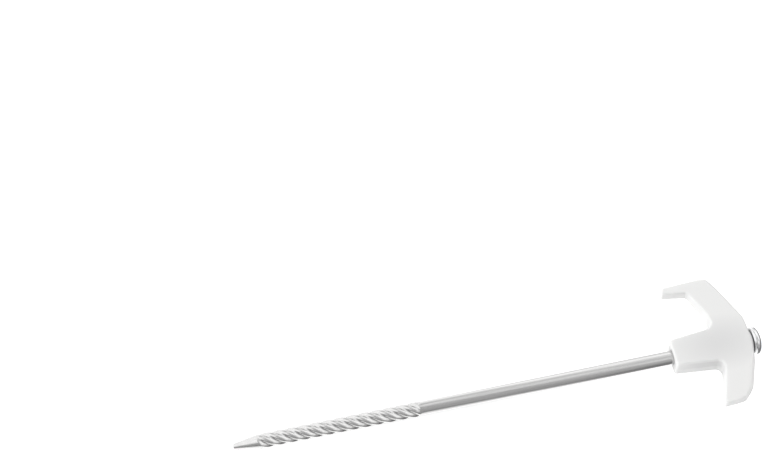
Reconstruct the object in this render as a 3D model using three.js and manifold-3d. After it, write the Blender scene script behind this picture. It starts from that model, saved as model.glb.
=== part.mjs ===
// Tent stake: a steel pin with a rolled spiral and a blunt point, a moulded T-shaped
// guy-line hook that turns on the pin's upper end, and the domed drive screw that
// closes that end and keeps the hook on.
//
// Millimetres. The pin's axis is the X axis, with the centre of the blunt point at the
// origin and +X towards the drive screw. +Y is the side of the arm that ends in a
// retaining lip, and +Z is the outward normal of the hook's front face.

import * as THREE from 'three';
import { mergeVertices } from 'three/addons/utils/BufferGeometryUtils.js';
import Module from 'manifold-3d';

const wasm = await Module();
wasm.setup();

// ---------------------------------------------------------------- driving dimensions

const TOTAL_LENGTH = 254;

// Pin.
const SHANK_RADIUS = 3.2;
const TIP_RADIUS = 1.3;
const POINT_LENGTH = 13;
const SPIRAL_END = 90;
const SPIRAL_CREST_RADIUS = 3.5;
const SPIRAL_GROOVE_DEPTH = 0.85;
const SPIRAL_STARTS = 4;
const SPIRAL_LEAD = 23.5;
const SPIRAL_FADE = 4;
const SPIRAL_STEP = 1.25;
const PIN_SIDES = 32;
const PIN_TOP_CHAMFER = 0.5;

// Hook: x is counted from the hub's lower end in the outline further down.
const HUB_END_X = 211.5;
const HOOK_THICKNESS = 12.4;
const HOOK_EDGE = 0.6;
const ARM_THIN_FROM = 11.5;
const ARM_THIN_TO = 27;
const ARM_END_THICKNESS = 6.6;
const ARM_REACH = 40;
const HUB_HALF_WIDTH_END = 6.4;
const HUB_HALF_WIDTH_ROOT = 8.6;
const HUB_ROOT_X = 22.5;
const HOOK_TOP_X = 36.4;
const BOSS_HEIGHT = 1.6;
const BOSS_BASE_RADIUS = 5.9;
const BOSS_TOP_RADIUS = 5.5;
const PIN_DEPTH_IN_HUB = 31.5;

// Drive screw.
const HEAD_RADIUS = 6.5;
const HEAD_UNDER_RADIUS = 6.0;
const HEAD_HEIGHT = 4.2;
const HEAD_RIM_LOW = 0.7;
const HEAD_RIM_HIGH = 1.8;
const STEM_RADIUS = 2.0;
const STEM_LENGTH = 20;
const STEM_CHAMFER = 0.5;
const RECESS_SPAN = 5.4;
const RECESS_WING = 1.3;
const RECESS_DEPTH = 2.3;
const SCREW_SIDES = 32;

// Space left between faces that meet, and past a cut's end.
const CLEARANCE = 0.3;
const CUT_OVERRUN = 1;

// ---------------------------------------------------------------- solids

// Keeps only the shared corners of a geometry and drops its collapsed triangles.
function weld(geometry) {
  const bare = geometry.clone();
  bare.deleteAttribute('normal');
  bare.deleteAttribute('uv');
  const merged = mergeVertices(bare, 1e-4);
  const index = merged.getIndex().array;
  const kept = [];
  for (let i = 0; i < index.length; i += 3) {
    const [a, b, c] = index.subarray(i, i + 3);
    if (a !== b && b !== c && c !== a) kept.push(a, b, c);
  }
  merged.setIndex(kept);
  return merged;
}

function toSolid(geometry) {
  const merged = weld(geometry);
  return new wasm.Manifold(new wasm.Mesh({
    numProp: 3,
    vertProperties: new Float32Array(merged.getAttribute('position').array),
    triVerts: new Uint32Array(merged.getIndex().array),
  }));
}

function toGeometry(solid) {
  const mesh = solid.getMesh();
  const geometry = new THREE.BufferGeometry();
  geometry.setAttribute('position', new THREE.BufferAttribute(mesh.vertProperties, 3));
  geometry.setIndex(new THREE.BufferAttribute(mesh.triVerts, 1));
  geometry.computeVertexNormals();
  return geometry;
}

// Turns [x, radius] stations, which start and end on the axis, about the X axis.
function turned(stations, sides) {
  const profile = stations.map(([x, radius]) => new THREE.Vector2(radius, x));
  const geometry = new THREE.LatheGeometry(profile, sides);
  geometry.rotateZ(-Math.PI / 2);
  return geometry;
}

// A round rod or cone frustum along X, from x0 to x1.
function rodAlongX(x0, radius0, x1, radius1, sides) {
  return toSolid(turned([[x0, 0], [x0, radius0], [x1, radius1], [x1, 0]], sides));
}

// ---------------------------------------------------------------- spiral pin

const PIN_TOP_X = HUB_END_X + PIN_DEPTH_IN_HUB;
const HEAD_SEAT_X = TOTAL_LENGTH - HEAD_HEIGHT;
const STEM_END_X = HEAD_SEAT_X - STEM_LENGTH;

// How deep the four grooves cut below the crest at a place on the pin. The dip is
// narrow, so the metal between two grooves stands as a wide rounded ridge.
function grooveDepth(x, angle) {
  const fadeIn = THREE.MathUtils.smoothstep(x, POINT_LENGTH - SPIRAL_FADE, POINT_LENGTH);
  const fadeOut = 1 - THREE.MathUtils.smoothstep(x, SPIRAL_END - SPIRAL_FADE, SPIRAL_END);
  const phase = SPIRAL_STARTS * (angle - 2 * Math.PI * x / SPIRAL_LEAD);
  const dip = ((1 + Math.cos(phase)) / 2) ** 2;
  return SPIRAL_GROOVE_DEPTH * dip * fadeIn * fadeOut;
}

function spiralPin() {
  const stations = [[0, 0], [0, TIP_RADIUS]];
  const pointSteps = 6;
  const flank = SPIRAL_CREST_RADIUS - TIP_RADIUS;
  for (let i = 1; i <= pointSteps; i += 1) {
    const t = i / pointSteps;
    stations.push([POINT_LENGTH * t, TIP_RADIUS + flank * t]);
  }
  for (let x = POINT_LENGTH + SPIRAL_STEP; x < SPIRAL_END; x += SPIRAL_STEP) {
    stations.push([x, SPIRAL_CREST_RADIUS]);
  }
  stations.push([SPIRAL_END, SHANK_RADIUS]);
  stations.push([PIN_TOP_X - PIN_TOP_CHAMFER, SHANK_RADIUS]);
  stations.push([PIN_TOP_X, SHANK_RADIUS - PIN_TOP_CHAMFER]);
  stations.push([PIN_TOP_X, 0]);

  const body = turned(stations, PIN_SIDES);
  const position = body.getAttribute('position');
  for (let i = 0; i < position.count; i += 1) {
    const [x, y, z] = [position.getX(i), position.getY(i), position.getZ(i)];
    const radius = Math.hypot(y, z);
    if (radius > TIP_RADIUS && x < SPIRAL_END) {
      const scale = 1 - grooveDepth(x, Math.atan2(z, y)) / radius;
      position.setXYZ(i, x, y * scale, z * scale);
    }
  }

  // Blind hole for the drive screw's stem.
  const holeRadius = STEM_RADIUS + CLEARANCE;
  const holeEnd = STEM_END_X - CLEARANCE;
  const hole = rodAlongX(holeEnd, holeRadius, PIN_TOP_X + CUT_OVERRUN, holeRadius, SCREW_SIDES);
  return toGeometry(toSolid(body).subtract(hole));
}

// ---------------------------------------------------------------- drive screw

function driveScrew() {
  const stations = [
    [STEM_END_X, 0],
    [STEM_END_X, STEM_RADIUS - STEM_CHAMFER],
    [STEM_END_X + STEM_CHAMFER, STEM_RADIUS],
    [HEAD_SEAT_X, STEM_RADIUS],
    [HEAD_SEAT_X, HEAD_UNDER_RADIUS],
    [HEAD_SEAT_X + HEAD_RIM_LOW, HEAD_RADIUS],
    [HEAD_SEAT_X + HEAD_RIM_HIGH, HEAD_RADIUS],
  ];
  const domeSteps = 6;
  const domeRise = HEAD_HEIGHT - HEAD_RIM_HIGH;
  for (let i = 1; i <= domeSteps; i += 1) {
    const t = (Math.PI / 2) * (i / domeSteps);
    stations.push([TOTAL_LENGTH - domeRise * (1 - Math.sin(t)), HEAD_RADIUS * Math.cos(t)]);
  }
  stations[stations.length - 1][1] = 0;
  let screw = toSolid(turned(stations, SCREW_SIDES));

  // Cross recess: two crossed slots with a deeper round centre.
  const slotDepth = RECESS_DEPTH + CUT_OVERRUN;
  for (const turn of [Math.PI / 4, -Math.PI / 4]) {
    const slot = new THREE.BoxGeometry(slotDepth, RECESS_SPAN, RECESS_WING);
    slot.rotateX(turn);
    slot.translate(TOTAL_LENGTH - RECESS_DEPTH + slotDepth / 2, 0, 0);
    screw = screw.subtract(toSolid(slot));
  }
  const wellEnd = TOTAL_LENGTH - RECESS_DEPTH;
  const well = rodAlongX(wellEnd, RECESS_WING, TOTAL_LENGTH + CUT_OVERRUN, RECESS_WING * 1.4, 16);
  return toGeometry(screw.subtract(well));
}

// ---------------------------------------------------------------- hook

// Corners of the hook seen from its front, [x, y, corner radius], counter-clockwise.
const HOOK_CORNERS = [
  [0, -HUB_HALF_WIDTH_END, 1.2],
  [HUB_ROOT_X, -HUB_HALF_WIDTH_ROOT, 3],
  [15.4, -29.5, 1.2],
  [26.4, -28.8, 2.2],
  [30.8, -24.4, 8],
  [HOOK_TOP_X - 0.6, -11.6, 6],
  [HOOK_TOP_X + 1.1, -1.5, 14],
  [HOOK_TOP_X + 0.8, 11.4, 5],
  [29.7, 28.3, 14],
  [26.2, 34.4, 2.2],
  [3.5, 33.4, 1.4],
  [3.5, 30.2, 1.2],
  [15.0, 28.3, 1.6],
  [20.1, 17.8, 8],
  [HUB_ROOT_X, HUB_HALF_WIDTH_ROOT, 3.5],
  [0, HUB_HALF_WIDTH_END, 1.2],
];

// A closed outline of straight sides whose corners are rounded by arcs.
function roundedOutline(corners) {
  const shape = new THREE.Shape();
  corners.forEach(([x, y, radius], i) => {
    const corner = new THREE.Vector2(x, y);
    const before = new THREE.Vector2(...corners.at(i - 1)).sub(corner).normalize();
    const after = new THREE.Vector2(...corners[(i + 1) % corners.length]).sub(corner).normalize();
    const halfAngle = Math.acos(before.dot(after)) / 2;
    const reach = radius / Math.tan(halfAngle);
    const start = corner.clone().addScaledVector(before, reach);
    const end = corner.clone().addScaledVector(after, reach);
    const inward = before.clone().add(after).normalize();
    const centre = corner.clone().addScaledVector(inward, radius / Math.sin(halfAngle));
    const from = Math.atan2(start.y - centre.y, start.x - centre.x);
    const to = Math.atan2(end.y - centre.y, end.x - centre.x);
    const clockwise = before.cross(after) > 0;
    if (i === 0) shape.moveTo(start.x, start.y);
    else shape.lineTo(start.x, start.y);
    shape.absarc(centre.x, centre.y, radius, from, to, clockwise);
  });
  shape.closePath();
  return shape;
}

// A long bar along X that holds everything in front of the arms' backs, which rise
// evenly from the sides of the hub and then run level.
function frontOfArmBacks() {
  const back = HOOK_THICKNESS / 2 - ARM_END_THICKNESS;
  const slope = (back + HOOK_THICKNESS / 2) / (ARM_THIN_TO - ARM_THIN_FROM);
  const section = new THREE.Shape([
    new THREE.Vector2(-ARM_REACH, back),
    new THREE.Vector2(-ARM_THIN_TO, back),
    new THREE.Vector2(0, back - slope * ARM_THIN_TO),
    new THREE.Vector2(ARM_THIN_TO, back),
    new THREE.Vector2(ARM_REACH, back),
    new THREE.Vector2(ARM_REACH, HOOK_THICKNESS),
    new THREE.Vector2(-ARM_REACH, HOOK_THICKNESS),
  ]);
  const bar = new THREE.ExtrudeGeometry(section, { depth: TOTAL_LENGTH, bevelEnabled: false });
  const alongX = new THREE.Matrix4().makeBasis(
    new THREE.Vector3(0, 1, 0),
    new THREE.Vector3(0, 0, 1),
    new THREE.Vector3(1, 0, 0),
  );
  return toSolid(bar.applyMatrix4(alongX));
}

function hook() {
  const plate = new THREE.ExtrudeGeometry(roundedOutline(HOOK_CORNERS), {
    depth: HOOK_THICKNESS - 2 * HOOK_EDGE,
    bevelThickness: HOOK_EDGE,
    bevelSize: HOOK_EDGE,
    bevelOffset: -HOOK_EDGE,
    bevelSegments: 2,
    curveSegments: 4,
  });
  plate.translate(HUB_END_X, 0, HOOK_EDGE - HOOK_THICKNESS / 2);

  // Round seat under the drive screw's head.
  const seatX = HUB_END_X + HOOK_TOP_X;
  const seatTop = seatX + BOSS_HEIGHT;
  const boss = rodAlongX(seatX - HOOK_EDGE, BOSS_BASE_RADIUS, seatTop, BOSS_TOP_RADIUS, SCREW_SIDES);

  // Stepped bore: wide for the pin, narrow for the screw's stem. The step between them
  // is caught between the pin's end and the screw's head.
  const pinHole = SHANK_RADIUS + CLEARANCE;
  const stemHole = STEM_RADIUS + CLEARANCE;
  const step = PIN_TOP_X + CLEARANCE;
  const wide = rodAlongX(HUB_END_X - CUT_OVERRUN, pinHole, step, pinHole, PIN_SIDES);
  const narrow = rodAlongX(step - CUT_OVERRUN, stemHole, seatTop + CUT_OVERRUN, stemHole, SCREW_SIDES);
  const body = toSolid(plate).intersect(frontOfArmBacks()).add(boss);
  return toGeometry(body.subtract(wide).subtract(narrow));
}

// ---------------------------------------------------------------- assembly

const zincSteel = new THREE.MeshStandardMaterial({ color: 0xb9bcbd, roughness: 0.32, metalness: 1 });
const brightSteel = new THREE.MeshStandardMaterial({ color: 0xd6d8da, roughness: 0.14, metalness: 1 });
const milkyPlastic = new THREE.MeshStandardMaterial({ color: 0xeeefec, roughness: 0.42, metalness: 0 });

function named(name, geometry, material) {
  const mesh = new THREE.Mesh(geometry, material);
  mesh.name = name;
  return mesh;
}

const stake = new THREE.Group();
stake.add(named('spiral_pin', spiralPin(), zincSteel));
stake.add(named('drive_screw', driveScrew(), brightSteel));
stake.add(named('guy_line_hook', hook(), milkyPlastic));

export default stake;
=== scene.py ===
"""Looks of a tent stake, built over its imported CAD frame.

Three pieces replace the three CAD nodes: a moulded hook, a steel pin with a rolled
spiral, and a domed drive screw. Shapes are worked out in millimetres, in the frame of
the CAD: the pin's axis is X with the blunt point at the origin, +Y is the side of the
arm with the lip, and +Z is the outward normal of the hook's front face. Meshes are
scaled to metres as they are made.
"""

import math

import bpy
import numpy as np
from mathutils import Euler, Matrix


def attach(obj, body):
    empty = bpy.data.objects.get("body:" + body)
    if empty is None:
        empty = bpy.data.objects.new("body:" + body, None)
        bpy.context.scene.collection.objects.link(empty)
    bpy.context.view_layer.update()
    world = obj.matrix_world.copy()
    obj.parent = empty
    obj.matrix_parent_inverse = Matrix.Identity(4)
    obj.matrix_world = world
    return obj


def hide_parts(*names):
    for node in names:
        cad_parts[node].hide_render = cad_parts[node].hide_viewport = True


MM = 0.001

# ------------------------------------------------------------------ driving dimensions

TOTAL_LENGTH = 254.0

# Pin.
SHANK_RADIUS = 3.2
TIP_RADIUS = 1.3
TIP_EDGE = 0.3
POINT_LENGTH = 13.0
SPIRAL_END = 90.0
SPIRAL_CREST_RADIUS = 3.5
SPIRAL_GROOVE_DEPTH = 0.85
SPIRAL_STARTS = 4
SPIRAL_LEAD = 23.5
SPIRAL_FADE = 2.5
PIN_TOP_CHAMFER = 0.5

# The pin's mesh: points round it, points over the tip's edge, and the spacing of its rings.
PIN_SIDES = 128
TIP_EDGE_STEPS = 5
SPIRAL_STEP = 0.3
SHANK_STEP = 2

# Hook.
HUB_END_X = 211.5
HOOK_THICKNESS = 12.4
ARM_END_THICKNESS = 6.6
ARM_THIN_FROM = 9.0
ARM_THIN_TO = 29.5
HUB_HALF_WIDTH_END = 6.4
HUB_HALF_WIDTH_ROOT = 8.6
HUB_ROOT_X = 22.5
HOOK_TOP_X = 36.4
PIN_DEPTH_IN_HUB = 31.5
BOSS_HEIGHT = 1.6
BOSS_BASE_RADIUS = 5.9
BOSS_TOP_RADIUS = 5.5
BOSS_ROOT = 5.0
BOSS_EDGE = 0.5
BOSS_FILLET = 0.8
INNER_EDGE_RADIUS = 0.8
OUTER_EDGE_RADIUS = 2.2
BORE_CLEARANCE = 0.15
MOUTH_ROUNDING = 0.5

# The hook's mesh starts from a grid of cells this wide, between these two y.
HOOK_CELL = 0.45
HOOK_GRID_Y = (-32.5, 36)

# The outer edges' wide rounding begins at this x from the hub's end, less the bend times y
# squared, and blends in over this much on both sides. Beside the screw's head, up to the
# first y, only a share of it is left, and past the second y all of it.
WIDE_EDGE_X = 29.5
WIDE_EDGE_BEND = 0.005
WIDE_EDGE_BLEND = 3.5
HEAD_EDGE_SHARE = 0.2
HEAD_EDGE_Y = (6, 14)

# Corners of the hook seen from its front, [x from the hub's end, y, corner radius],
# counter-clockwise.
HOOK_CORNERS = [
    [0, -HUB_HALF_WIDTH_END, 1.2],
    [HUB_ROOT_X, -HUB_HALF_WIDTH_ROOT, 3],
    [15.4, -29.5, 1.2],
    [26.4, -28.8, 2.2],
    [30.8, -24.4, 8],
    [HOOK_TOP_X - 0.6, -11.6, 6],
    [HOOK_TOP_X + 1.1, -1.5, 14],
    [HOOK_TOP_X + 0.8, 11.4, 5],
    [29.7, 28.3, 14],
    [26.2, 34.4, 2.2],
    [3.5, 33.4, 1.4],
    [3.5, 30.2, 1.2],
    [15.0, 28.3, 1.6],
    [20.1, 17.8, 8],
    [HUB_ROOT_X, HUB_HALF_WIDTH_ROOT, 3.5],
    [0, HUB_HALF_WIDTH_END, 1.2],
]

# Drive screw.
HEAD_RADIUS = 6.5
HEAD_UNDER_RADIUS = 6.0
HEAD_HEIGHT = 4.2
HEAD_RIM_LOW = 0.7
HEAD_RIM_HIGH = 1.8
HEAD_EDGE = 0.3
STEM_RADIUS = 2.0
STEM_LENGTH = 20.0
STEM_IN_HEAD = 1
STEM_END_EDGE = 0.8
RECESS_SPAN = 5.4
RECESS_WING = 1.3
RECESS_WELL_RADIUS = 1.625
RECESS_DEPTH = 2.3
RECESS_TAPER = 0.42
RECESS_WING_TAPER = 0.06
RECESS_SLOT_EDGE = 0.15
RECESS_FILLET = 0.25
RECESS_FLOOR_EDGE = 0.2
RECESS_MOUTH_EDGE = 0.12
SCREW_CELL = 0.14

CLEARANCE = 0.3

PIN_TOP_X = HUB_END_X + PIN_DEPTH_IN_HUB
SEAT_X = HUB_END_X + HOOK_TOP_X
BOSS_TOP_X = SEAT_X + BOSS_HEIGHT
HEAD_SEAT_X = TOTAL_LENGTH - HEAD_HEIGHT
STEM_END_X = HEAD_SEAT_X - STEM_LENGTH
HALF_THICKNESS = HOOK_THICKNESS / 2

# Places on the hook where painted shade in its colour changes, in millimetres: darker over
# the thick hub and its steel core, a band of painted shade on the hub's side walls, and
# painted shade round the pin's mouth. Each pair of distances says where a change begins and
# where it is complete: from the middle of the thick part, from the band's height, from the
# axis, and from the hub's end.
CORE_X = HUB_END_X + HUB_ROOT_X
CORE_SQUEEZE = (0.6, 1, 1)
CORE_FADE = (6.0, 16.0)
BAND_FADE_FROM_CORE = (9.0, 15.0)
BAND_Z = 1.8
BAND_FADE_FROM_Z = (2.4, 3.4)
BAND_FADE_FROM_AXIS = (8.6, 10.4)
BAND_FADE_FROM_HUB_END = (25.0, 30.0)
MOUTH_FADE = (3.5, 6.2)

# The middle stretch of a noise texture's values, over which colour and roughness change.
NOISE_RANGE = (0.3, 0.7)

# Camera, in metres and degrees, and the table that the stake lies on, in metres: the
# point's rim and the hook's back touch it, so it leans a little against the pin's axis.
CAMERA_PLACE = (0.07994, -0.22089, 0.56064)
CAMERA_TURN = (29.602, 4.937, -10.316)
CAMERA_LENS = 59.63
CAMERA_SENSOR = 36
TABLE_SIZE = 6.0
TABLE_GAP = 0.00002
TABLE_CONTACT_X = HUB_END_X + INNER_EDGE_RADIUS

# Light, used by studio_world and side_lamp. Stops are [angle, brightness], with the angle
# in degrees about the X axis, from straight up towards the camera's side.
STUDIO_STRENGTH = 2.0
REFLECTED_STOPS = [
    [-180, 1.5],
    [-130, 0.8],
    [-75, 1.45],
    [-50, 1.05],
    [-28, 0.58],
    [-18, 0.68],
    [4, 1.22],
    [28, 0.47],
    [50, 0.58],
    [75, 0.42],
    [100, 0.5],
    [120, 0.2],
    [140, 1.1],
    [180, 1.5],
]
DIFFUSE_STOPS = [
    [-180, 0.7],
    [-80, 0.7],
    [0, 1.2],
    [50, 0.9],
    [85, 0.3],
]
SLANT = 4.2
SLANT_ZERO = 0.115
SLANT_REACH = 0.3

# Bright boxes past both ends of the pin, and dark places below and beyond the hook: pairs
# of direction X, direction Z or angle in radians, from where each begins to where it is full.
END_BOX_BRIGHTNESS = 1.3
HOOK_END_X = (0.4, 0.65)
HOOK_END_ANGLE = (0.8, 0.35)
POINT_END_X = (-0.12, -0.35)
POINT_END_ANGLE = (0.95, 0.4)
DARK_PLACE_BRIGHTNESS = 0.24
UNDER_HOOK_X = (0.1, 0.2)
UNDER_HOOK_ANGLE = (1.55, 1.85)
BEYOND_HOOK_X = (0.3, 0.45)
BEYOND_HOOK_Z = (0.0, -0.25)

SIDE_LAMP_STRENGTH = 1.2
SIDE_LAMP_SPREAD = 50
SIDE_LAMP_TURN = (0, -60, -20)
TABLE_GLOW = 0.45


# ------------------------------------------------------------------ fields and meshes


def smooth_step(value, low, high):
    t = np.clip((value - low) / (high - low), 0, 1)
    return t * t * (3 - 2 * t)


def smooth_min(a, b, reach):
    """The lower of two fields, with a fillet of about that reach where they meet."""
    h = np.clip(0.5 + 0.5 * (b - a) / reach, 0, 1)
    return b + (a - b) * h - reach * h * (1 - h)


def smooth_max(a, b, reach):
    return -smooth_min(-a, -b, reach)


def gradient(field, points, step=0.02):
    """Slope of a field at each point, by central differences."""
    slopes = []
    for axis in range(3):
        shift = np.zeros(3)
        shift[axis] = step
        ahead = field(*(points + shift).T)
        behind = field(*(points - shift).T)
        slopes.append((ahead - behind) / (2 * step))
    return np.stack(slopes, 1)


def settle(field, points, rounds=4, reach=0.15, least_steepness=0.05):
    """Moves points onto the zero surface of a field, along its slope."""
    for _ in range(rounds):
        slope = gradient(field, points)
        steepness = np.maximum((slope**2).sum(1), least_steepness)
        move = field(*points.T) / steepness
        points = points - np.clip(move, -reach, reach)[:, None] * slope
    return points


def surface_net(field, low, high, cell):
    """Points and four-sided faces of a field's zero surface, one point to each cell that
    the surface crosses. The field is negative inside."""
    axes = [np.arange(a, b + cell, cell) for a, b in zip(low, high)]
    grids = np.meshgrid(*axes, indexing="ij", sparse=True)
    values = np.broadcast_to(field(*grids), [len(a) for a in axes])
    inside = values < 0
    cells = np.array(values.shape) - 1
    total = np.zeros((*cells, 3))
    count = np.zeros(cells)
    crossings = []
    for axis in range(3):
        first = np.moveaxis(inside, axis, 0)
        crossed = np.argwhere(np.moveaxis(first[:-1] != first[1:], 0, axis))
        ahead = crossed.copy()
        ahead[:, axis] += 1
        start = values[tuple(crossed.T)]
        end = values[tuple(ahead.T)]
        place = crossed.astype(float)
        place[:, axis] += start / (start - end)
        crossings.append((axis, crossed, start < 0))
        u, v = (axis + 1) % 3, (axis + 2) % 3
        for du in (0, 1):
            for dv in (0, 1):
                around = crossed.copy()
                around[:, u] -= du
                around[:, v] -= dv
                fits = ((around >= 0) & (around < cells)).all(1)
                np.add.at(total, tuple(around[fits].T), place[fits])
                np.add.at(count, tuple(around[fits].T), 1)
    used = count > 0
    number = np.full(cells, -1)
    number[used] = np.arange(used.sum())
    points = total[used] / count[used][:, None] * cell + np.array(low)
    faces = []
    for axis, crossed, outward in crossings:
        u, v = (axis + 1) % 3, (axis + 2) % 3
        corners = []
        for du, dv in ((1, 1), (0, 1), (0, 0), (1, 0)):
            around = crossed.copy()
            around[:, u] -= du
            around[:, v] -= dv
            corners.append(number[tuple(around.T)])
        ring = np.stack(corners, 1)
        faces.append(ring[outward])
        faces.append(ring[~outward][:, ::-1])
    return points, np.concatenate(faces)


def mesh_object(name, points, faces):
    """A smooth-shaded object from points in millimetres."""
    mesh = bpy.data.meshes.new(name)
    mesh.from_pydata((points * MM).tolist(), [], [list(map(int, face)) for face in faces])
    mesh.validate()
    mesh.shade_smooth()
    piece = bpy.data.objects.new(name, mesh)
    bpy.context.scene.collection.objects.link(piece)
    return piece


def field_object(name, field, low, high, cell):
    points, faces = surface_net(field, low, high, cell)
    return mesh_object(name, settle(field, points), faces)


def place_piece(piece, material, node, body):
    piece.data.materials.append(material)
    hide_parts(node)
    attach(piece, body)


# ------------------------------------------------------------------ hook shape


def rounded_outline(corners, arc_steps=10):
    """Points along a closed outline of straight sides with rounded corners."""
    outline = []
    for i, (x, y, radius) in enumerate(corners):
        corner = np.array([x, y], float)
        before = np.array(corners[i - 1][:2]) - corner
        after = np.array(corners[(i + 1) % len(corners)][:2]) - corner
        before /= np.linalg.norm(before)
        after /= np.linalg.norm(after)
        half = math.acos(before @ after) / 2
        inward = (before + after) / np.linalg.norm(before + after)
        centre = corner + inward * radius / math.sin(half)
        start = corner + before * radius / math.tan(half) - centre
        end = corner + after * radius / math.tan(half) - centre
        swing = math.atan2(start[0] * end[1] - start[1] * end[0], start @ end)
        for t in np.linspace(0, swing, arc_steps):
            turn = np.array([[math.cos(t), -math.sin(t)], [math.sin(t), math.cos(t)]])
            outline.append(centre + turn @ start)
    return np.array(outline)


def outline_field(outline, x, y):
    """Distance from a closed outline, negative inside."""
    distance = np.full(np.broadcast(x, y).shape, np.inf)
    inside = np.zeros(distance.shape, bool)
    for (ax, ay), (bx, by) in zip(outline, np.roll(outline, -1, 0)):
        ex, ey = bx - ax, by - ay
        t = np.clip(((x - ax) * ex + (y - ay) * ey) / (ex * ex + ey * ey), 0, 1)
        distance = np.minimum(distance, np.hypot(x - ax - t * ex, y - ay - t * ey))
        spans = (ay > y) != (by > y)
        if ay != by:
            inside ^= spans & (x < ax + (y - ay) * ex / ey)
    return np.where(inside, -distance, distance)


HOOK_OUTLINE = rounded_outline(HOOK_CORNERS)


def edge_radius(x, y):
    """The hook's outer edges are rounded wide, except beside the screw's head, and its
    inner edges only a little."""
    start = WIDE_EDGE_X - WIDE_EDGE_BEND * y**2
    share = smooth_step(x - start, -WIDE_EDGE_BLEND, WIDE_EDGE_BLEND)
    share = share * (HEAD_EDGE_SHARE + (1 - HEAD_EDGE_SHARE) * smooth_step(np.abs(y), *HEAD_EDGE_Y))
    return INNER_EDGE_RADIUS + (OUTER_EDGE_RADIUS - INNER_EDGE_RADIUS) * share


def back_rise(y):
    """How far the hook's back rises along the arms, which thin from behind."""
    share = smooth_step(np.abs(y), ARM_THIN_FROM, ARM_THIN_TO)
    return (HOOK_THICKNESS - ARM_END_THICKNESS) * share


def hook_field(x, y, z):
    """A plate with rounded edges and a boss on its top, less the holes for pin and stem."""
    local_x = x - HUB_END_X
    rounding = edge_radius(local_x, y)
    across = outline_field(HOOK_OUTLINE, local_x, y) + rounding
    middle = back_rise(y) / 2
    through = np.abs(z - middle) - (HALF_THICKNESS - middle) + rounding
    outside = np.hypot(np.maximum(across, 0), np.maximum(through, 0))
    plate = np.minimum(np.maximum(across, through), 0) + outside - rounding

    radius = np.hypot(y, z)
    taper = (BOSS_BASE_RADIUS - BOSS_TOP_RADIUS) / BOSS_HEIGHT
    boss_side = radius - BOSS_BASE_RADIUS + taper * np.maximum(x - SEAT_X, 0)
    boss = smooth_max(boss_side, x - BOSS_TOP_X, BOSS_EDGE)
    boss = smooth_max(boss, SEAT_X - BOSS_ROOT - x, BOSS_EDGE)
    body = np.maximum(smooth_min(plate, boss, BOSS_FILLET), np.abs(z) - HALF_THICKNESS)

    pin_hole = np.maximum(radius - SHANK_RADIUS - BORE_CLEARANCE, x - PIN_TOP_X - CLEARANCE)
    stem_hole = radius - STEM_RADIUS - CLEARANCE
    return smooth_max(body, -np.minimum(pin_hole, stem_hole), MOUTH_ROUNDING)


def hook(margin_x=1, margin_z=0.8):
    low = [HUB_END_X - margin_x, HOOK_GRID_Y[0], -HALF_THICKNESS - margin_z]
    high = [BOSS_TOP_X + margin_x, HOOK_GRID_Y[1], HALF_THICKNESS + margin_z]
    return field_object("moulded_hook", hook_field, low, high, HOOK_CELL)


# ------------------------------------------------------------------ drive screw shape


def dome_field(x, radius, scale=2.6):
    """An ellipsoid's cap over the head's rim; the scale makes its values about millimetres."""
    rise = (x - HEAD_SEAT_X - HEAD_RIM_HIGH) / (HEAD_HEIGHT - HEAD_RIM_HIGH)
    return (np.hypot(np.maximum(rise, 0), radius / HEAD_RADIUS) - 1) * scale


def flare_field(x, radius, scale=0.7):
    """The cone under the rim, which widens from the seat."""
    flare = (HEAD_RADIUS - HEAD_UNDER_RADIUS) / HEAD_RIM_LOW
    return (radius - HEAD_UNDER_RADIUS - flare * (x - HEAD_SEAT_X)) * scale


def recess_field(x, y, z):
    """Cross recess: two crossed slots and a round well that narrow towards the bottom."""
    depth = TOTAL_LENGTH - x
    turned_y = (y + z) / math.sqrt(2)
    turned_z = (y - z) / math.sqrt(2)
    half_span = RECESS_SPAN / 2 - RECESS_TAPER * depth
    half_wing = RECESS_WING / 2 - RECESS_WING_TAPER * depth
    slots = []
    for along, aside in ((turned_y, turned_z), (turned_z, turned_y)):
        end = np.abs(along) - half_span
        side = np.abs(aside) - half_wing
        slots.append(smooth_max(end, side, RECESS_SLOT_EDGE))
    well = np.hypot(y, z) - RECESS_WELL_RADIUS + RECESS_TAPER * depth
    recess = smooth_min(smooth_min(slots[0], slots[1], RECESS_FILLET), well, RECESS_FILLET)
    return smooth_max(recess, depth - RECESS_DEPTH, RECESS_FLOOR_EDGE)


def screw_field(x, y, z):
    """The domed head with its recess, and the stem that starts inside it."""
    radius = np.hypot(y, z)
    head = smooth_max(dome_field(x, radius), flare_field(x, radius), HEAD_EDGE)
    head = smooth_max(head, HEAD_SEAT_X - x, HEAD_EDGE)
    stem = smooth_max(radius - STEM_RADIUS, STEM_END_X - x, STEM_END_EDGE)
    stem = np.maximum(stem, x - HEAD_SEAT_X - STEM_IN_HEAD)
    body = smooth_min(head, stem, HEAD_EDGE)
    return smooth_max(body, -recess_field(x, y, z), RECESS_MOUTH_EDGE)


def drive_screw(margin_x=1, margin=0.5):
    low = [STEM_END_X - margin_x, -HEAD_RADIUS - margin, -HEAD_RADIUS - margin]
    high = [TOTAL_LENGTH + margin, HEAD_RADIUS + margin, HEAD_RADIUS + margin]
    return field_object("domed_drive_screw", screw_field, low, high, SCREW_CELL)


# ------------------------------------------------------------------ pin shape


def groove_depth(x, angle):
    """How deep the narrow grooves cut below the crest at a place on the pin."""
    fade_in = smooth_step(x, POINT_LENGTH - SPIRAL_FADE / 2, POINT_LENGTH + SPIRAL_FADE / 2)
    fade_out = 1 - smooth_step(x, SPIRAL_END - SPIRAL_FADE, SPIRAL_END)
    phase = SPIRAL_STARTS * (angle - 2 * math.pi * x / SPIRAL_LEAD)
    dip = ((1 + np.cos(phase)) / 2) ** 2
    return SPIRAL_GROOVE_DEPTH * dip * fade_in * fade_out


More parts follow.
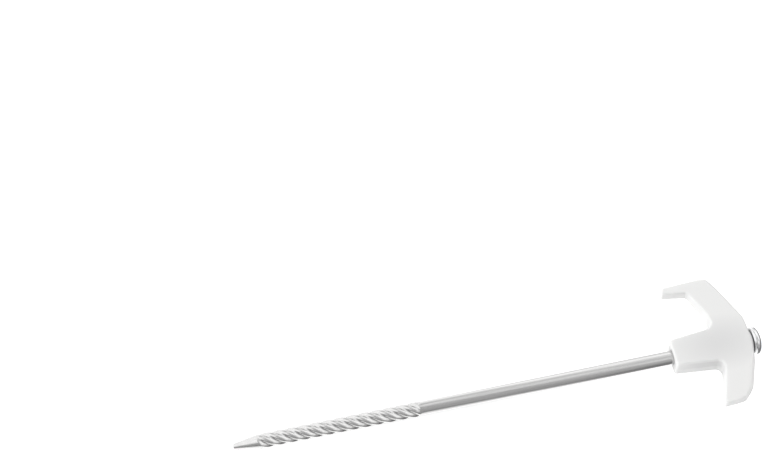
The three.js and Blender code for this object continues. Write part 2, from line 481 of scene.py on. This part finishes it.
def crest_radius(x):
    """Radius of the point's cone, then of the spiral's crests, then of the shank."""
    point = TIP_RADIUS + (SPIRAL_CREST_RADIUS - TIP_RADIUS) * x / POINT_LENGTH
    shank_share = smooth_step(x, SPIRAL_END - SPIRAL_FADE, SPIRAL_END)
    plain = SPIRAL_CREST_RADIUS + (SHANK_RADIUS - SPIRAL_CREST_RADIUS) * shank_share
    return np.where(x < POINT_LENGTH, point, plain)


def pin_stations():
    """[x, radius] from the middle of the blunt tip, over the pin and down its hole."""
    stations = []
    for t in np.linspace(0, math.pi / 2, TIP_EDGE_STEPS):
        x = TIP_EDGE * (1 - math.cos(t))
        stations.append([x, TIP_RADIUS - TIP_EDGE * (1 - math.sin(t))])
    for x in np.arange(TIP_EDGE * 2, SPIRAL_END + SPIRAL_STEP, SPIRAL_STEP):
        stations.append([x, float(crest_radius(x))])
    for x in np.arange(SPIRAL_END + SHANK_STEP, PIN_TOP_X - PIN_TOP_CHAMFER, SHANK_STEP):
        stations.append([x, SHANK_RADIUS])
    hole_radius = STEM_RADIUS + CLEARANCE
    stations.append([PIN_TOP_X - PIN_TOP_CHAMFER, SHANK_RADIUS])
    stations.append([PIN_TOP_X, SHANK_RADIUS - PIN_TOP_CHAMFER])
    stations.append([PIN_TOP_X, hole_radius])
    stations.append([STEM_END_X - CLEARANCE, hole_radius])
    return np.array(stations)


def spiral_pin():
    stations = pin_stations()
    angle = np.arange(PIN_SIDES) * 2 * math.pi / PIN_SIDES
    x = np.repeat(stations[:, :1], PIN_SIDES, 1)
    radius = np.repeat(stations[:, 1:], PIN_SIDES, 1)
    on_spiral = (x > TIP_EDGE) & (x < SPIRAL_END)
    radius = radius - np.where(on_spiral, groove_depth(x, angle), 0)
    rings = np.stack([x, radius * np.cos(angle), radius * np.sin(angle)], 2)
    tip = [0, 0, 0]
    hole_bottom = [STEM_END_X - CLEARANCE, 0, 0]
    points = np.concatenate([rings.reshape(-1, 3), [tip, hole_bottom]])

    faces = []
    last = len(stations) - 1
    for side in range(PIN_SIDES):
        following = (side + 1) % PIN_SIDES
        faces.append([len(points) - 2, following, side])
        faces.append([len(points) - 1, last * PIN_SIDES + side, last * PIN_SIDES + following])
        for i in range(last):
            a, b = i * PIN_SIDES, (i + 1) * PIN_SIDES
            faces.append([a + side, a + following, b + following, b + side])
    return mesh_object("rolled_spiral_pin", points, faces)


# ------------------------------------------------------------------ shader nodes


def connect(tree, value, socket):
    """Links an output into a socket, or sets the socket to a number, vector or colour."""
    if isinstance(value, bpy.types.NodeSocket):
        tree.links.new(value, socket)
    else:
        socket.default_value = value


def math_node(tree, operation, first, second=0.0):
    node = tree.nodes.new("ShaderNodeMath")
    node.operation = operation
    connect(tree, first, node.inputs[0])
    connect(tree, second, node.inputs[1])
    return node.outputs[0]


def vector_node(tree, operation, first, second=(0, 0, 0)):
    node = tree.nodes.new("ShaderNodeVectorMath")
    node.operation = operation
    connect(tree, first, node.inputs[0])
    connect(tree, second, node.inputs[1])
    return node.outputs["Value" if operation == "LENGTH" else "Vector"]


def ranged(tree, value, low, high, from_value=0.0, to_value=1.0):
    """A number that goes from one value to another while the input goes from low to high."""
    node = tree.nodes.new("ShaderNodeMapRange")
    node.inputs["From Min"].default_value = low
    node.inputs["From Max"].default_value = high
    node.inputs["To Min"].default_value = from_value
    node.inputs["To Max"].default_value = to_value
    tree.links.new(value, node.inputs["Value"])
    return node.outputs["Result"]


def fade(tree, distance, start, end):
    """1 up to the start distance, and 0 from the end distance on."""
    return ranged(tree, distance, start, end, 1.0, 0.0)


def mixed(tree, factor, first, second):
    """A colour that turns from the first into the second as a factor rises to 1."""
    node = tree.nodes.new("ShaderNodeMix")
    node.data_type = "RGBA"
    connect(tree, factor, node.inputs["Factor"])
    connect(tree, first, node.inputs["A"])
    connect(tree, second, node.inputs["B"])
    return node.outputs["Result"]


def noise(tree, place, stretch, scale, detail):
    """A noise texture over the position, squeezed or stretched along each axis."""
    mapping = tree.nodes.new("ShaderNodeMapping")
    mapping.inputs["Scale"].default_value = stretch
    texture = tree.nodes.new("ShaderNodeTexNoise")
    texture.inputs["Scale"].default_value = scale
    texture.inputs["Detail"].default_value = detail
    tree.links.new(place, mapping.inputs["Vector"])
    tree.links.new(mapping.outputs["Vector"], texture.inputs["Vector"])
    return texture.outputs["Fac"]


def bump(tree, shader, height, distance_mm):
    node = tree.nodes.new("ShaderNodeBump")
    node.inputs["Distance"].default_value = distance_mm * MM
    tree.links.new(height, node.inputs["Height"])
    tree.links.new(node.outputs["Normal"], shader.inputs["Normal"])


def distance_across(tree, place, axis, middle):
    """Distance from a plane across one axis, in millimetres."""
    parts = tree.nodes.new("ShaderNodeSeparateXYZ")
    tree.links.new(place, parts.inputs[0])
    return math_node(tree, "ABSOLUTE", math_node(tree, "SUBTRACT", parts.outputs[axis], middle))


def distance_from(tree, place, centre, squeeze):
    """Distance from a point, in millimetres, measured shorter along the squeezed axes."""
    away = vector_node(tree, "SUBTRACT", place, centre)
    return vector_node(tree, "LENGTH", vector_node(tree, "MULTIPLY", away, squeeze))


# ------------------------------------------------------------------ materials


def new_material(name):
    """A material with its node tree, its Principled shader and a position in millimetres."""
    material = bpy.data.materials.new(name)
    material.use_nodes = True
    tree = material.node_tree
    place = tree.nodes.new("ShaderNodeTexCoord")
    millimetres = vector_node(tree, "MULTIPLY", place.outputs["Object"], (1 / MM, 1 / MM, 1 / MM))
    return material, tree, tree.nodes["Principled BSDF"], millimetres


def painted_wall_shade(tree, place, core):
    """Share of painted shade in a band over the upper part of the hub's side walls, strongest
    beside the thick core.
    """
    share = fade(tree, core, *BAND_FADE_FROM_CORE)
    for axis, middle, reach in (
        ("Z", BAND_Z, BAND_FADE_FROM_Z),
        ("Y", 0, BAND_FADE_FROM_AXIS),
        ("X", HUB_END_X, BAND_FADE_FROM_HUB_END),
    ):
        near = fade(tree, distance_across(tree, place, axis, middle), *reach)
        share = math_node(tree, "MULTIPLY", share, near)
    return share


def milky_plastic():
    """Milky plastic with painted shade: darker where it is thick over the steel core, in a
    band on the hub's side walls, and round the pin's mouth at the hub's end.
    """
    material, tree, shader, place = new_material("milky_plastic_look")
    # Painted shade: darker over the thick hub and its steel core, lighter on the thin arms,
    # standing in for light through the plastic.
    core = distance_from(tree, place, (CORE_X, 0, 0), CORE_SQUEEZE)
    thinness = ranged(tree, core, *CORE_FADE)
    colour = mixed(tree, thinness, (0.635, 0.635, 0.635, 1), (0.735, 0.735, 0.73, 1))
    # Painted shade in a band on the hub's side walls.
    colour = mixed(tree, painted_wall_shade(tree, place, core), colour, (0.59, 0.59, 0.59, 1))
    # Painted shade round the pin's mouth at the hub's end.
    from_mouth = distance_from(tree, place, (HUB_END_X, 0, 0), (1, 1, 1))
    colour = mixed(tree, fade(tree, from_mouth, *MOUTH_FADE), colour, (0.6, 0.6, 0.6, 1))
    tree.links.new(colour, shader.inputs["Base Color"])
    grain = noise(tree, place, (1, 1, 1), 2.2, 6.0)
    tree.links.new(ranged(tree, grain, *NOISE_RANGE, 0.38, 0.5), shader.inputs["Roughness"])
    bump(tree, shader, grain, 0.03)
    shader.inputs["Subsurface Weight"].default_value = 0.6
    shader.inputs["Subsurface Radius"].default_value = (1, 1, 1)
    shader.inputs["Subsurface Scale"].default_value = 1.5 * MM
    shader.inputs["IOR"].default_value = 1.49
    return material


def steel(name, stretch, scale, detail, colours, roughness, bump_mm):
    """Steel whose colour and roughness follow one noise texture."""
    material, tree, shader, place = new_material(name)
    wear = noise(tree, place, stretch, scale, detail)
    share = ranged(tree, wear, *NOISE_RANGE)
    tree.links.new(mixed(tree, share, *colours), shader.inputs["Base Color"])
    tree.links.new(ranged(tree, wear, *NOISE_RANGE, *roughness), shader.inputs["Roughness"])
    bump(tree, shader, wear, bump_mm)
    shader.inputs["Metallic"].default_value = 1
    return material


def zinc_steel():
    """Satin drawn wire with fine lengthwise lines."""
    return steel(
        "zinc_steel_look",
        stretch=(0.02, 1, 1),
        scale=1.6,
        detail=6.0,
        colours=((0.62, 0.62, 0.62, 1), (0.72, 0.715, 0.71, 1)),
        roughness=(0.22, 0.14),
        bump_mm=0.02,
    )


def bright_steel():
    """Bright plating with faint scuffs."""
    return steel(
        "bright_steel_look",
        stretch=(1, 1, 1),
        scale=1.2,
        detail=8.0,
        colours=((0.70, 0.705, 0.71, 1), (0.80, 0.805, 0.81, 1)),
        roughness=(0.08, 0.16),
        bump_mm=0.01,
    )


# ------------------------------------------------------------------ table, light, camera


def table_top():
    """A white table, seen through from below."""
    half = TABLE_SIZE / 2
    corners = [(-half, -half, 0), (half, -half, 0), (half, half, 0), (-half, half, 0)]
    mesh = bpy.data.meshes.new("table_top")
    mesh.from_pydata(corners, [], [(0, 1, 2, 3)])
    table = bpy.data.objects.new("table_top", mesh)
    bpy.context.scene.collection.objects.link(table)
    drop = HALF_THICKNESS - TIP_RADIUS
    table.location = (0, 0, -TIP_RADIUS * MM - TABLE_GAP)
    table.rotation_euler = Euler((0, math.atan2(drop, TABLE_CONTACT_X), 0))

    material = bpy.data.materials.new("white_table")
    material.use_nodes = True
    nodes, links = material.node_tree.nodes, material.node_tree.links
    shader = nodes["Principled BSDF"]
    shader.inputs["Base Color"].default_value = (0.9, 0.9, 0.9, 1)
    shader.inputs["Roughness"].default_value = 0.9
    shader.inputs["Emission Color"].default_value = (1, 1, 1, 1)
    shader.inputs["Emission Strength"].default_value = TABLE_GLOW
    side = nodes.new("ShaderNodeNewGeometry")
    clear = nodes.new("ShaderNodeBsdfTransparent")
    mix = nodes.new("ShaderNodeMixShader")
    links.new(side.outputs["Backfacing"], mix.inputs["Fac"])
    links.new(shader.outputs["BSDF"], mix.inputs[1])
    links.new(clear.outputs["BSDF"], mix.inputs[2])
    links.new(mix.outputs["Shader"], nodes["Material Output"].inputs["Surface"])
    mesh.materials.append(material)
    table.visible_glossy = False


def grey(brightness):
    return (*[brightness / STUDIO_STRENGTH] * 3, 1)


def brightness_ramp(tree, angle, stops):
    """Brightness that follows an angle in radians, from stops of [degrees, brightness]."""
    ramp = tree.nodes.new("ShaderNodeValToRGB")
    tree.links.new(ranged(tree, angle, -math.pi, math.pi), ramp.inputs["Fac"])
    elements = ramp.color_ramp.elements
    for i, (degrees, brightness) in enumerate(stops):
        stop = elements[i] if i < 2 else elements.new(1)
        stop.position = (degrees + 180) / 360
        stop.color = grey(brightness)
    return ramp.outputs["Color"]


def reflected_boxes(tree, x, z, angle):
    """What the metal reflects: soft boxes along the pin, with dark gaps between them, a box
    past each of its ends, and two dark places round the hook."""

    # The boxes stand slanted, so their reflections drift across the pin along its length.
    ahead = ranged(tree, x, 0, SLANT_REACH, SLANT_ZERO, SLANT_ZERO - SLANT_REACH)
    slanted = math_node(tree, "ADD", angle, math_node(tree, "MULTIPLY", ahead, SLANT))
    colour = brightness_ramp(tree, slanted, REFLECTED_STOPS)
    for across, across_range, x_range, brightness in (
        (angle, HOOK_END_ANGLE, HOOK_END_X, END_BOX_BRIGHTNESS),
        (angle, UNDER_HOOK_ANGLE, UNDER_HOOK_X, DARK_PLACE_BRIGHTNESS),
        (z, BEYOND_HOOK_Z, BEYOND_HOOK_X, DARK_PLACE_BRIGHTNESS),
        (angle, POINT_END_ANGLE, POINT_END_X, END_BOX_BRIGHTNESS),
    ):
        along_share = ranged(tree, x, *x_range)
        share = math_node(tree, "MULTIPLY", along_share, ranged(tree, across, *across_range))
        colour = mixed(tree, share, colour, grey(brightness))
    return colour


def studio_world():
    """World light. Metal reflects a set of boxes, and all the rest is lit by a plain
    gradient that is brightest straight above and dark towards the camera's side."""
    world = bpy.data.worlds.new("studio")
    world.use_nodes = True
    bpy.context.scene.world = world
    tree = world.node_tree
    direction = tree.nodes.new("ShaderNodeTexCoord")
    parts = tree.nodes.new("ShaderNodeSeparateXYZ")
    tree.links.new(direction.outputs["Generated"], parts.inputs[0])
    x, y, z = parts.outputs
    angle = math_node(tree, "ARCTAN2", math_node(tree, "MULTIPLY", y, -1), z)
    diffuse = brightness_ramp(tree, angle, DIFFUSE_STOPS)
    reflected = reflected_boxes(tree, x, z, angle)
    ray = tree.nodes.new("ShaderNodeLightPath")
    background = tree.nodes["Background"]
    colour = mixed(tree, ray.outputs["Is Glossy Ray"], diffuse, reflected)
    tree.links.new(colour, background.inputs["Color"])
    background.inputs["Strength"].default_value = STUDIO_STRENGTH
    bpy.context.scene.view_settings.view_transform = "Standard"


def side_lamp():
    """A wide soft lamp beyond the pin's point, kept out of the metal's reflections."""
    data = bpy.data.lights.new("side_lamp", "SUN")
    data.energy = SIDE_LAMP_STRENGTH
    data.angle = math.radians(SIDE_LAMP_SPREAD)
    lamp = bpy.data.objects.new("side_lamp", data)
    bpy.context.scene.collection.objects.link(lamp)
    lamp.rotation_euler = Euler([math.radians(a) for a in SIDE_LAMP_TURN])
    lamp.visible_glossy = False


def camera():
    data = bpy.data.cameras.new("camera")
    data.lens = CAMERA_LENS
    data.sensor_width = CAMERA_SENSOR
    data.clip_start = 0.01
    data.clip_end = 20
    eye = bpy.data.objects.new("camera", data)
    bpy.context.scene.collection.objects.link(eye)
    eye.location = CAMERA_PLACE
    eye.rotation_euler = Euler([math.radians(a) for a in CAMERA_TURN])
    bpy.context.scene.camera = eye


# ------------------------------------------------------------------ assembly

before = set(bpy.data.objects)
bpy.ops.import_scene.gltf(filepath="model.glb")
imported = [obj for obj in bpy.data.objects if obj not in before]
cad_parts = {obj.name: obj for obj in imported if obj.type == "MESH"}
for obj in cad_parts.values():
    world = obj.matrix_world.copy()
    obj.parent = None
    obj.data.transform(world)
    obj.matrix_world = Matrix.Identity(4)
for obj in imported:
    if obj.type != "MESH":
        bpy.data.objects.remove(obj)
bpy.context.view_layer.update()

camera()
studio_world()
side_lamp()
table_top()
place_piece(hook(), milky_plastic(), "guy_line_hook", "hook")
place_piece(spiral_pin(), zinc_steel(), "spiral_pin", "pin")
place_piece(drive_screw(), bright_steel(), "drive_screw", "pin")
